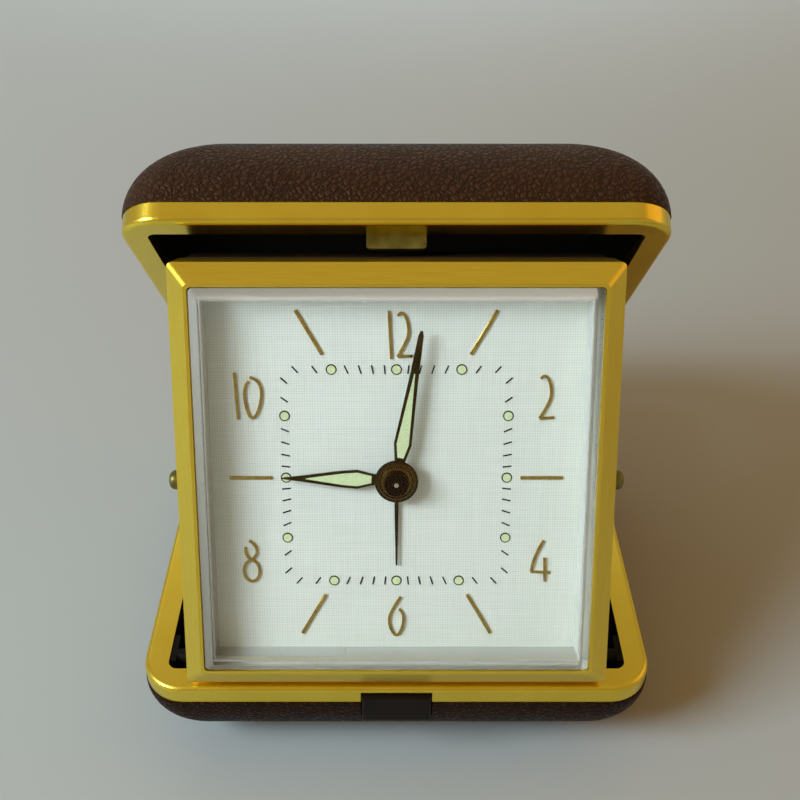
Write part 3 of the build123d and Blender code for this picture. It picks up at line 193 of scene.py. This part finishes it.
def leatherette(name, gloss, deep, middle, light):
    """Pebbled covering: bent cells for the grain, with fine pores over them and a broad change of tone."""
    bend_scale, bend, cell_scale, cell_edge = 1100.0, 0.0009, 1150.0, 0.30
    pore_scale, cloud_scale, pebble_share, cloud_share = 5200.0, 60.0, 0.6, 0.4
    pebble_depth, pore_depth = 0.00022, 0.00012
    s = Shader(name, Roughness=0.4, Specular_IOR_Level=gloss, Specular_Tint=(1.0, 0.78, 0.58, 1.0))
    where = s.place()
    wobble = s.node("ShaderNodeTexNoise")
    s.feed(wobble, Vector=where, Scale=bend_scale, Detail=3.0)
    bent = s.node("ShaderNodeVectorMath", operation="MULTIPLY_ADD")
    s.link(wobble.outputs["Color"], bent.inputs[0])
    bent.inputs[1].default_value = (bend, bend, bend)
    s.link(where, bent.inputs[2])
    cells = s.node("ShaderNodeTexVoronoi", feature="DISTANCE_TO_EDGE")
    s.feed(cells, Vector=bent.outputs[0], Scale=cell_scale)
    pebble = s.span(cells.outputs["Distance"], 0.0, 1.0, 0.0, cell_edge)
    pores = s.noise(where, pore_scale, 4.0, 0.6)
    cloud = s.noise(where, cloud_scale, 2.0)
    tone = s.math("ADD", s.math("MULTIPLY", pebble, pebble_share), s.math("MULTIPLY", cloud, cloud_share))
    s.colour(s.ramp(tone, (0.15, deep), (0.5, middle), (0.9, light)))
    s.rough(s.span(pebble, 0.58, 0.33))
    s.normal(s.bump(pores, 0.22, pore_depth, s.bump(pebble, 0.8, pebble_depth)))
    return s.material


def polished_brass():
    dark, light = (0.84, 0.61, 0.060), (0.93, 0.71, 0.095)
    cloud_scale, fine_scale, fine_depth = 90.0, 2600.0, 0.00004
    s = Shader("gilt_brass", Metallic=1.0, Roughness=0.24)
    where = s.place()
    cloud = s.noise(where, cloud_scale, 4.0)
    fine = s.noise(where, fine_scale, 4.0, 0.6)
    s.colour(s.ramp(cloud, (0.2, dark), (0.8, light)))
    s.rough(s.span(cloud, 0.20, 0.32))
    s.normal(s.bump(fine, 0.05, fine_depth))
    return s.material


def brushed_bezel():
    """Brass brushed along each of the bezel's four sides."""
    dark, light = (0.80, 0.57, 0.055), (0.95, 0.73, 0.10)
    along, athwart, grain_depth = 140.0, 9000.0, 0.00006
    s = Shader("bezel_brass", Metallic=1.0, Roughness=0.3)
    along_x = s.noise(s.place((along, athwart, athwart), head=True), 1.0, 4.0, 0.65)
    along_u = s.noise(s.place((athwart, along, athwart), head=True), 1.0, 4.0, 0.65)
    across, up, _ = s.head_axes()
    side = s.math("GREATER_THAN", s.math("ABSOLUTE", across), s.math("ABSOLUTE", up))
    mixed = s.node("ShaderNodeMix", data_type="FLOAT")
    s.link(side, mixed.inputs[FACTOR])
    s.link(along_x, mixed.inputs[FLOAT_A])
    s.link(along_u, mixed.inputs[FLOAT_B])
    grain = mixed.outputs[FLOAT_OUT]
    s.colour(s.ramp(grain, (0.25, dark), (0.75, light)))
    s.rough(s.span(grain, 0.26, 0.40))
    s.normal(s.bump(grain, 0.16, grain_depth))
    return s.material


def aged_brass():
    dark, light = (0.15, 0.13, 0.035), (0.30, 0.265, 0.085)
    spot_scale, fine_scale, fine_depth = 420.0, 3000.0, 0.00005
    s = Shader("aged_brass", Metallic=1.0, Roughness=0.42)
    where = s.place()
    spots = s.noise(where, spot_scale, 5.0, 0.6)
    s.colour(s.ramp(spots, (0.3, dark), (0.7, light)))
    s.rough(s.span(spots, 0.34, 0.52))
    s.normal(s.bump(s.noise(where, fine_scale, 3.0), 0.08, fine_depth))
    return s.material


def black_lining():
    dark, light = (0.0035, 0.0032, 0.003), (0.011, 0.010, 0.0095)
    nap_scale, nap_depth = 5200.0, 0.0001
    s = Shader("black_lining", Roughness=0.85, Specular_IOR_Level=0.2)
    nap = s.noise(s.place(), nap_scale, 4.0, 0.7)
    s.colour(s.ramp(nap, (0.3, dark), (0.8, light)))
    s.normal(s.bump(nap, 0.3, nap_depth))
    return s.material


def brown_enamel(name, low, high, rough):
    cloud_scale, peel_scale, peel_depth = 150.0, 1500.0, 0.00006
    s = Shader(name, Roughness=rough, Specular_IOR_Level=0.14)
    where = s.place()
    cloud = s.noise(where, cloud_scale, 3.0)
    peel = s.noise(where, peel_scale, 3.0)
    s.colour(s.ramp(cloud, (0.25, low), (0.75, high)))
    s.rough(s.span(peel, rough - 0.06, rough + 0.08))
    s.normal(s.bump(peel, 0.10, peel_depth))
    return s.material


def plain_steel():
    dark, light = (0.42, 0.42, 0.41), (0.60, 0.60, 0.58)
    along, athwart, grain_depth = 300.0, 6000.0, 0.00004
    s = Shader("steel", Metallic=1.0, Roughness=0.34)
    grain = s.noise(s.place((along, athwart, athwart)), 1.0, 3.0)
    s.colour(s.ramp(grain, (0.3, dark), (0.7, light)))
    s.rough(s.span(grain, 0.28, 0.42))
    s.normal(s.bump(grain, 0.08, grain_depth))
    return s.material


def movement_brass():
    dark, light = (0.50, 0.36, 0.12), (0.66, 0.50, 0.20)
    face_scale, depth_scale, grain_depth = 800.0, 5000.0, 0.00005
    s = Shader("movement_brass", Metallic=1.0, Roughness=0.36)
    grain = s.noise(s.place((face_scale, face_scale, depth_scale), head=True), 1.0, 4.0)
    s.colour(s.ramp(grain, (0.3, dark), (0.7, light)))
    s.rough(s.span(grain, 0.30, 0.44))
    s.normal(s.bump(grain, 0.08, grain_depth))
    return s.material


def clear_crystal():
    """Clear moulded plastic. Its walls carry painted light, a pale sheen that stands for reflections and
    for light caught in the walls, and it lets lamp light through to the dial.
    """
    tint, clear = (0.985, 0.99, 0.985), (1.0, 1.0, 1.0)
    # Tones of the painted sheen that stands in for reflected and caught light on the walls
    painted_sheen_low, painted_sheen_middle, painted_sheen_high = (0.50, 0.50, 0.46), (0.66, 0.67, 0.62), (0.95, 0.96, 0.93)
    painted_sheen_right = (0.66, 0.68, 0.66, 1.0)
    s = Shader("crystal_clear", Roughness=0.02, IOR=1.12, Transmission_Weight=1.0, Coat_Roughness=0.03)
    slant = s.node("ShaderNodeLayerWeight").outputs["Facing"]
    s.link(s.span(slant, 0.0, 0.8, 0.14, 0.60), s.principled.inputs["Coat Weight"])
    s.colour(s.ramp(s.noise(s.place(), 120.0, 2.0), (0.2, tint), (0.8, clear)))

    # How much painted light on the walls: none over the dial, more from left to right as the right walls
    # catch more light, little on the right chamfer
    across, up, _ = s.head_axes()
    edge = s.math("MAXIMUM", s.math("ABSOLUTE", across), s.math("ABSOLUTE", up))
    wall = s.math("MULTIPLY", s.span(edge, 0.0, 1.0, *WALL_START),
                  s.span(across, 0.42, 0.66, -WALL_REACH, WALL_REACH))
    wall = s.math("MULTIPLY", wall, s.span(across, 1.0, 0.12, *CHAMFER_START))

    # Its painted colour: darker low down and paler towards the top, and one pale lit tone on the right wall
    painted_sheen = s.node("ShaderNodeMix", data_type="RGBA")
    s.link(s.math("GREATER_THAN", across, s.math("ABSOLUTE", up)), painted_sheen.inputs[FACTOR])
    height = s.span(up, 0.0, 1.0, -WALL_REACH, WALL_REACH)
    s.link(s.ramp(height, (0.04, painted_sheen_low), (0.5, painted_sheen_middle), (0.96, painted_sheen_high)), painted_sheen.inputs[COLOUR_A])
    painted_sheen.inputs[COLOUR_B].default_value = painted_sheen_right
    # A diffuse shader that carries the painted light onto the walls
    painted_sheen_shader = s.node("ShaderNodeBsdfDiffuse")
    s.link(painted_sheen.outputs[COLOUR_OUT], painted_sheen_shader.inputs["Color"])

    body = s.node("ShaderNodeMixShader")
    s.link(wall, body.inputs[0])
    s.link(s.principled.outputs[0], body.inputs[1])
    s.link(painted_sheen_shader.outputs[0], body.inputs[2])
    lit = s.node("ShaderNodeMixShader")
    s.link(s.node("ShaderNodeLightPath").outputs["Is Shadow Ray"], lit.inputs[0])
    s.link(body.outputs[0], lit.inputs[1])
    s.link(s.node("ShaderNodeBsdfTransparent").outputs[0], lit.inputs[2])
    out = next(n for n in s.tree.nodes if n.type == "OUTPUT_MATERIAL")
    s.link(lit.outputs[0], out.inputs["Surface"])
    return s.material


def linen_dial():
    """Woven threads both ways, with slubs along them."""
    dark, middle, light = (0.575, 0.62, 0.59), (0.69, 0.73, 0.70), (0.755, 0.79, 0.765)
    slub_along, slub_athwart, weave_depth = 90.0, 2600.0, 0.00010
    s = Shader("dial_mint", Roughness=0.55, Specular_IOR_Level=0.3)
    across, up, _ = s.head_axes()
    turns = math.tau / THREAD_PITCH
    warp = s.math("SINE", s.math("MULTIPLY", across, turns))
    weft = s.math("SINE", s.math("MULTIPLY", up, turns))
    slubs_across = s.noise(s.place((slub_along, slub_athwart, 1.0), head=True), 1.0, 1.5, 0.6)
    slubs_down = s.noise(s.place((slub_athwart, slub_along, 1.0), head=True), 1.0, 1.5, 0.6)
    threads = s.span(s.math("ADD", warp, weft), 0.0, 1.0, -2.0, 2.0)
    slubs = s.math("MULTIPLY", s.math("ADD", slubs_across, slubs_down), 0.5)
    weave = s.math("ADD", s.math("MULTIPLY", threads, 0.5), s.math("MULTIPLY", slubs, 0.5))
    s.colour(s.ramp(weave, (0.25, dark), (0.5, middle), (0.75, light)))
    s.rough(s.span(weave, 0.62, 0.48, 0.3, 0.7))
    s.normal(s.bump(weave, 0.3, weave_depth))
    return s.material


def gilt_print():
    dark, light = (0.44, 0.31, 0.075), (0.60, 0.44, 0.13)
    s = Shader("gilt_print", Metallic=1.0, Roughness=0.3)
    soft = s.noise(s.place(head=True), 900.0, 3.0)
    s.colour(s.ramp(soft, (0.3, dark), (0.7, light)))
    s.rough(s.span(soft, 0.16, 0.28))
    return s.material


def tick_print():
    dark, light = (0.010, 0.012, 0.018), (0.028, 0.030, 0.038)
    s = Shader("tick_print", Roughness=0.6, Specular_IOR_Level=0.15)
    soft = s.noise(s.place(head=True), 2500.0, 2.0)
    s.colour(s.ramp(soft, (0.3, dark), (0.7, light)))
    return s.material


def lume():
    dark, light = (0.52, 0.62, 0.36), (0.66, 0.76, 0.48)
    grit_depth = 0.00008
    s = Shader("lume", Roughness=0.75, Specular_IOR_Level=0.2)
    grit = s.noise(s.place(head=True), 3000.0, 4.0, 0.7)
    s.colour(s.ramp(grit, (0.3, dark), (0.7, light)))
    s.normal(s.bump(grit, 0.25, grit_depth))
    return s.material


def bronze():
    dark, light = (0.040, 0.028, 0.007), (0.085, 0.060, 0.017)
    s = Shader("bronze", Metallic=1.0, Roughness=0.32)
    soft = s.noise(s.place(head=True), 700.0, 3.0)
    s.colour(s.ramp(soft, (0.3, dark), (0.7, light)))
    s.rough(s.span(soft, 0.26, 0.42))
    return s.material


def turned_bronze():
    """The hub's finish: rings left by the lathe, with a bright pin in the middle."""
    pin, cap, step = (0.62, 0.59, 0.52), (0.030, 0.016, 0.008), (0.036, 0.019, 0.009)
    collar, rim = (0.19, 0.12, 0.034), (0.070, 0.042, 0.014)
    ring_scale, ring_depth = 2400.0, 0.00006
    s = Shader("turned_bronze", Metallic=1.0, Roughness=0.3)
    across, up, _ = s.head_axes()
    radius = s.math("SQRT", s.math("ADD", s.math("MULTIPLY", across, across), s.math("MULTIPLY", up, up)))
    outwards = s.node("ShaderNodeCombineXYZ")
    s.link(s.math("MULTIPLY", radius, ring_scale), outwards.inputs[0])
    rings = s.noise(outwards.outputs[0], 1.0, 1.0)
    s.colour(s.ramp(s.span(radius, 0.0, 1.0, 0.0, HUB_RADIUS),
                    (0.09, pin), (0.12, cap), (0.57, step), (0.60, collar), (0.95, rim)))
    s.rough(s.span(rings, 0.14, 0.24))
    s.normal(s.bump(rings, 0.05, ring_depth))
    return s.material


# Materials by the record's slots, with their own for the bezel, and a darker, duller copy of the covering
# for the base as painted shade
MATERIALS = {
    "leatherette": leatherette(
        "leatherette", 0.24, (0.016, 0.0052, 0.0022), (0.050, 0.0172, 0.0068), (0.078, 0.0285, 0.0115)),
    "gilt_brass": polished_brass(),
    "aged_brass": aged_brass(),
    "black_lining": black_lining(),
    "brown_plastic": brown_enamel("brown_plastic", (0.0065, 0.0030, 0.0018), (0.011, 0.0048, 0.0028), 0.42),
    "case_brown": brown_enamel("case_brown", (0.020, 0.012, 0.008), (0.034, 0.020, 0.013), 0.42),
    "black_enamel": brown_enamel("black_enamel", (0.0055, 0.0045, 0.004), (0.010, 0.008, 0.007), 0.5),
    "steel": plain_steel(),
    "crystal_clear": clear_crystal(),
    "dial_mint": linen_dial(),
    "gilt_print": gilt_print(),
    "tick_print": tick_print(),
    "lume": lume(),
    "bronze": bronze(),
    "movement_brass": movement_brass(),
}
for entry in frame["record"]["subparts"]:
    node = nodes[entry["node"]]
    node.data.materials.clear()
    node.data.materials.append(MATERIALS[entry["material_slot"]])
nodes["bezel"].data.materials[0] = brushed_bezel()
# The base's covering is the lid's leatherette made darker and less glossy, a painted shade for the base
# that sits in shade
nodes["base_shell"].data.materials[0] = leatherette(
    "painted_shade_leatherette", 0.08, (0.010, 0.0035, 0.0016), (0.030, 0.0105, 0.0044), (0.048, 0.0175, 0.0072))


def in_head(across, up, out):
    """A point given across, up and out from the middle of the bezel's front, in the row frame."""
    return (
        HEAD_ORIGIN[0] + across,
        HEAD_ORIGIN[1] + up * math.sin(LEAN) - out * math.cos(LEAN),
        HEAD_ORIGIN[2] + up * math.cos(LEAN) + out * math.sin(LEAN),
    )


def piece_of(name, mesh):
    """A new object in the scene for a mesh."""
    piece = bpy.data.objects.new(name, mesh)
    scene.collection.objects.link(piece)
    return piece


def softened(node, name, width, body, raised):
    """A piece that stands for a CAD node, with its front raised and its sharp edges rounded."""
    weld, same_plane, sharp_from, smallest_edge = 1e-6, math.radians(1.0), math.radians(50.0), 1e-6
    mesh = nodes[node].data.copy()
    mesh.name = name
    form = bmesh.new()
    form.from_mesh(mesh)
    bmesh.ops.remove_doubles(form, verts=form.verts, dist=weld)
    bmesh.ops.dissolve_limit(form, angle_limit=same_plane, verts=form.verts, edges=form.edges)
    heights = {vert: vert.co.dot(OUTWARD) for vert in form.verts}
    middle = (min(heights.values()) + max(heights.values())) / 2
    for vert, height in heights.items():
        if height > middle:
            vert.co += OUTWARD * raised
    sharp = [e for e in form.edges if len(e.link_faces) == 2 and e.calc_face_angle() > sharp_from]
    bmesh.ops.bevel(
        form, geom=sharp, offset=width, segments=3, profile=0.5, affect="EDGES", clamp_overlap=True)
    bmesh.ops.dissolve_degenerate(form, dist=smallest_edge, edges=form.edges)
    for face in form.faces:
        face.smooth = True
    form.to_mesh(mesh)
    form.free()
    piece = piece_of(name, mesh)
    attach(piece, body)
    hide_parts(node)


def turned_hub():
    """The hub, turned on a lathe and closed at its back and on the pin."""
    vertices, faces, rows = [], [], len(HUB_PROFILE)
    for step in range(HUB_STEPS):
        around = math.tau * step / HUB_STEPS
        for radius, rise in HUB_PROFILE:
            vertices.append(in_head(radius * math.cos(around), radius * math.sin(around), HUB_BACK + rise))
        here, there = rows * step, rows * ((step + 1) % HUB_STEPS)
        for row in range(rows - 1):
            faces.append((here + row, there + row, there + row + 1, here + row + 1))
    faces.append(tuple(rows * step + rows - 1 for step in range(HUB_STEPS)))
    faces.append(tuple(rows * step for step in reversed(range(HUB_STEPS))))
    mesh = bpy.data.meshes.new("turned_hub")
    mesh.from_pydata(vertices, [], faces)
    mesh.materials.append(turned_bronze())
    return piece_of("turned_hub", mesh)


def dot_rings():
    """Thin closed rings, one round each luminous dot on its square track."""
    vertices, faces, rows = [], [], len(RING_PROFILE)
    for hour in range(12):
        turn = math.radians(30 * hour)
        reach = DOT_TRACK / max(abs(math.sin(turn)), abs(math.cos(turn)))
        first = len(vertices)
        for step in range(RING_STEPS):
            around = math.tau * step / RING_STEPS
            for radius, rise in RING_PROFILE:
                across = reach * math.sin(turn) + radius * math.cos(around)
                up = reach * math.cos(turn) + radius * math.sin(around)
                vertices.append(in_head(across, up, rise - DIAL_DEPTH))
            here, there = first + rows * step, first + rows * ((step + 1) % RING_STEPS)
            for row in range(rows):
                after = (row + 1) % rows
                faces.append((here + row, there + row, there + after, here + after))
    mesh = bpy.data.meshes.new("dot_rings")
    mesh.from_pydata(vertices, [], faces)
    mesh.materials.append(MATERIALS["bronze"])
    return piece_of("dot_rings", mesh)


softened("hour_figures", "raised_figures", FIGURE_ROUNDING, "head", GILT_RISE)
softened("hour_bars", "raised_bars", BAR_ROUNDING, "head", GILT_RISE)

hub = turned_hub()
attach(hub, "minute_work")
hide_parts("hand_nut")

rings = dot_rings()
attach(rings, "head")

# Floor
FLOOR_SIDE = 3.0
FLOOR_MIDDLE = (0, 0.1, 0)
FLOOR_DARK, FLOOR_LIGHT = (0.60, 0.68, 0.72), (0.63, 0.705, 0.745)
bpy.ops.mesh.primitive_plane_add(size=FLOOR_SIDE, location=FLOOR_MIDDLE)
floor = bpy.context.object
floor.name = "floor"
ground = Shader("floor_grey", Roughness=0.7)
ground.colour(ground.ramp(ground.noise(ground.place(), 3.0, 2.0), (0.3, FLOOR_DARK), (0.7, FLOOR_LIGHT)))
floor.data.materials.append(ground.material)

# World: pale overhead, warmer and dimmer low down, towards the right and towards the front
WORLD_STRENGTH = 0.36
world = bpy.data.worlds.new("studio")
scene.world = world
world.use_nodes = True
tree = world.node_tree
parts = tree.nodes.new("ShaderNodeSeparateXYZ")
tree.links.new(tree.nodes.new("ShaderNodeTexCoord").outputs["Generated"], parts.inputs[0])


def world_ramp(axis, *stops):
    """A colour that changes with one part of the direction, from -1 at 0 to 1 at 1."""
    reach = tree.nodes.new("ShaderNodeMapRange")
    reach.inputs["From Min"].default_value = -1.0
    tree.links.new(parts.outputs[axis], reach.inputs["Value"])
    made = tree.nodes.new("ShaderNodeValToRGB")
    tree.links.new(reach.outputs[0], made.inputs[0])
    fill_ramp(made.color_ramp, stops)
    return made.outputs["Color"]


def multiplied(first, second):
    made = tree.nodes.new("ShaderNodeMix")
    made.data_type = "RGBA"
    made.blend_type = "MULTIPLY"
    made.inputs[FACTOR].default_value = 1.0
    tree.links.new(first, made.inputs[COLOUR_A])
    tree.links.new(second, made.inputs[COLOUR_B])
    return made.outputs[COLOUR_OUT]


by_height = world_ramp("Z", (0.45, (0.30, 0.18, 0.06)), (0.95, (1.0, 0.72, 0.30)))
by_side = world_ramp("X", (0.25, (1.0, 1.0, 1.0)), (0.80, (0.56, 0.28, 0.06)))
by_depth = world_ramp("Y", (0.1, (0.80, 0.70, 0.52)), (0.6, (1.0, 1.0, 1.0)))
background = next(n for n in tree.nodes if n.type == "BACKGROUND")
tree.links.new(multiplied(multiplied(by_height, by_side), by_depth), background.inputs["Color"])
background.inputs["Strength"].default_value = WORLD_STRENGTH

# The camera, metal and glass see a pale room instead
room = tree.nodes.new("ShaderNodeBackground")
room_colour = world_ramp(
    "Z", (0.50, (0.38, 0.375, 0.35)), (0.62, (0.42, 0.36, 0.24)),
    (0.82, (0.31, 0.25, 0.13)), (0.94, (0.46, 0.375, 0.22)))
tree.links.new(room_colour, room.inputs["Color"])
path = tree.nodes.new("ShaderNodeLightPath")
sight = path.outputs["Is Camera Ray"]
for ray in ("Is Glossy Ray", "Is Transmission Ray"):
    either = tree.nodes.new("ShaderNodeMath")
    either.operation = "MAXIMUM"
    tree.links.new(sight, either.inputs[0])
    tree.links.new(path.outputs[ray], either.inputs[1])
    sight = either.outputs[0]
views = tree.nodes.new("ShaderNodeMixShader")
tree.links.new(sight, views.inputs[0])
tree.links.new(background.outputs[0], views.inputs[1])
tree.links.new(room.outputs[0], views.inputs[2])
surface = next(n for n in tree.nodes if n.type == "OUTPUT_WORLD").inputs["Surface"]
tree.links.new(views.outputs[0], surface)


def area(name, place, aim, size, power, colour, spread):
    data = bpy.data.lights.new(name, "AREA")
    data.spread = math.radians(spread)
    data.shape = "RECTANGLE"
    data.size, data.size_y = size
    data.energy = power
    data.color = colour
    made = piece_of(name, data)
    made.location = place
    made.rotation_euler = (Vector(aim) - Vector(place)).to_track_quat("-Z", "Y").to_euler()


# Lamps: the window at the left lights the clock, and the washes reach only the far floor
WIDE, NARROW = 180.0, 70.0
COOL, PALE, WASH, WARM = (0.82, 0.95, 1.0), (0.86, 0.95, 1.0), (0.88, 0.95, 1.0), (1.0, 0.50, 0.10)
BACK_WASH = (0.84, 0.95, 1.0)
LAMPS = (
    ("window", (-0.53, -0.28, 0.46), (0, 0, 0.04), (0.30, 0.26), 3.6, COOL, WIDE),
    ("rear_window", (-0.10, 0.60, 0.42), (0, 0, 0.06), (0.9, 0.4), 0.5, PALE, WIDE),
    ("back_wash", (0, 0.70, 0.80), (0, 0.70, 0), (0.5, 0.3), 0.8, BACK_WASH, NARROW),
    ("left_wash", (-1.0, 0.1, 0.9), (-1.0, 0.1, 0), (0.6, 1.4), 1.3, WASH, NARROW),
    ("right_wash", (1.0, 0.1, 0.9), (1.0, 0.1, 0), (0.6, 1.4), 1.3, WASH, NARROW),
    ("front_wash", (0, -1.05, 0.9), (0, -1.05, 0), (1.4, 0.6), 1.3, WASH, NARROW),
    ("warm_fill", (0.55, 0.05, 0.35), (0.06, 0, 0), (0.4, 0.4), 0.3, WARM, WIDE),
)
for lamp in LAMPS:
    area(*lamp)

# Camera, fitted to the photo
CAMERA_PLACE = (0.0, -0.1375, 0.1492)
CAMERA_DOWN = 37.43
camera_data = bpy.data.cameras.new("camera")
camera_data.sensor_width = 36.0
camera_data.lens = 45.46
camera_data.shift_x = 0.0044
camera_data.clip_start = 0.005
camera = piece_of("camera", camera_data)
camera.location = CAMERA_PLACE
camera.rotation_euler = (math.radians(90.0 - CAMERA_DOWN), 0.0, 0.0)
scene.camera = camera

scene.view_settings.view_transform = "Standard"
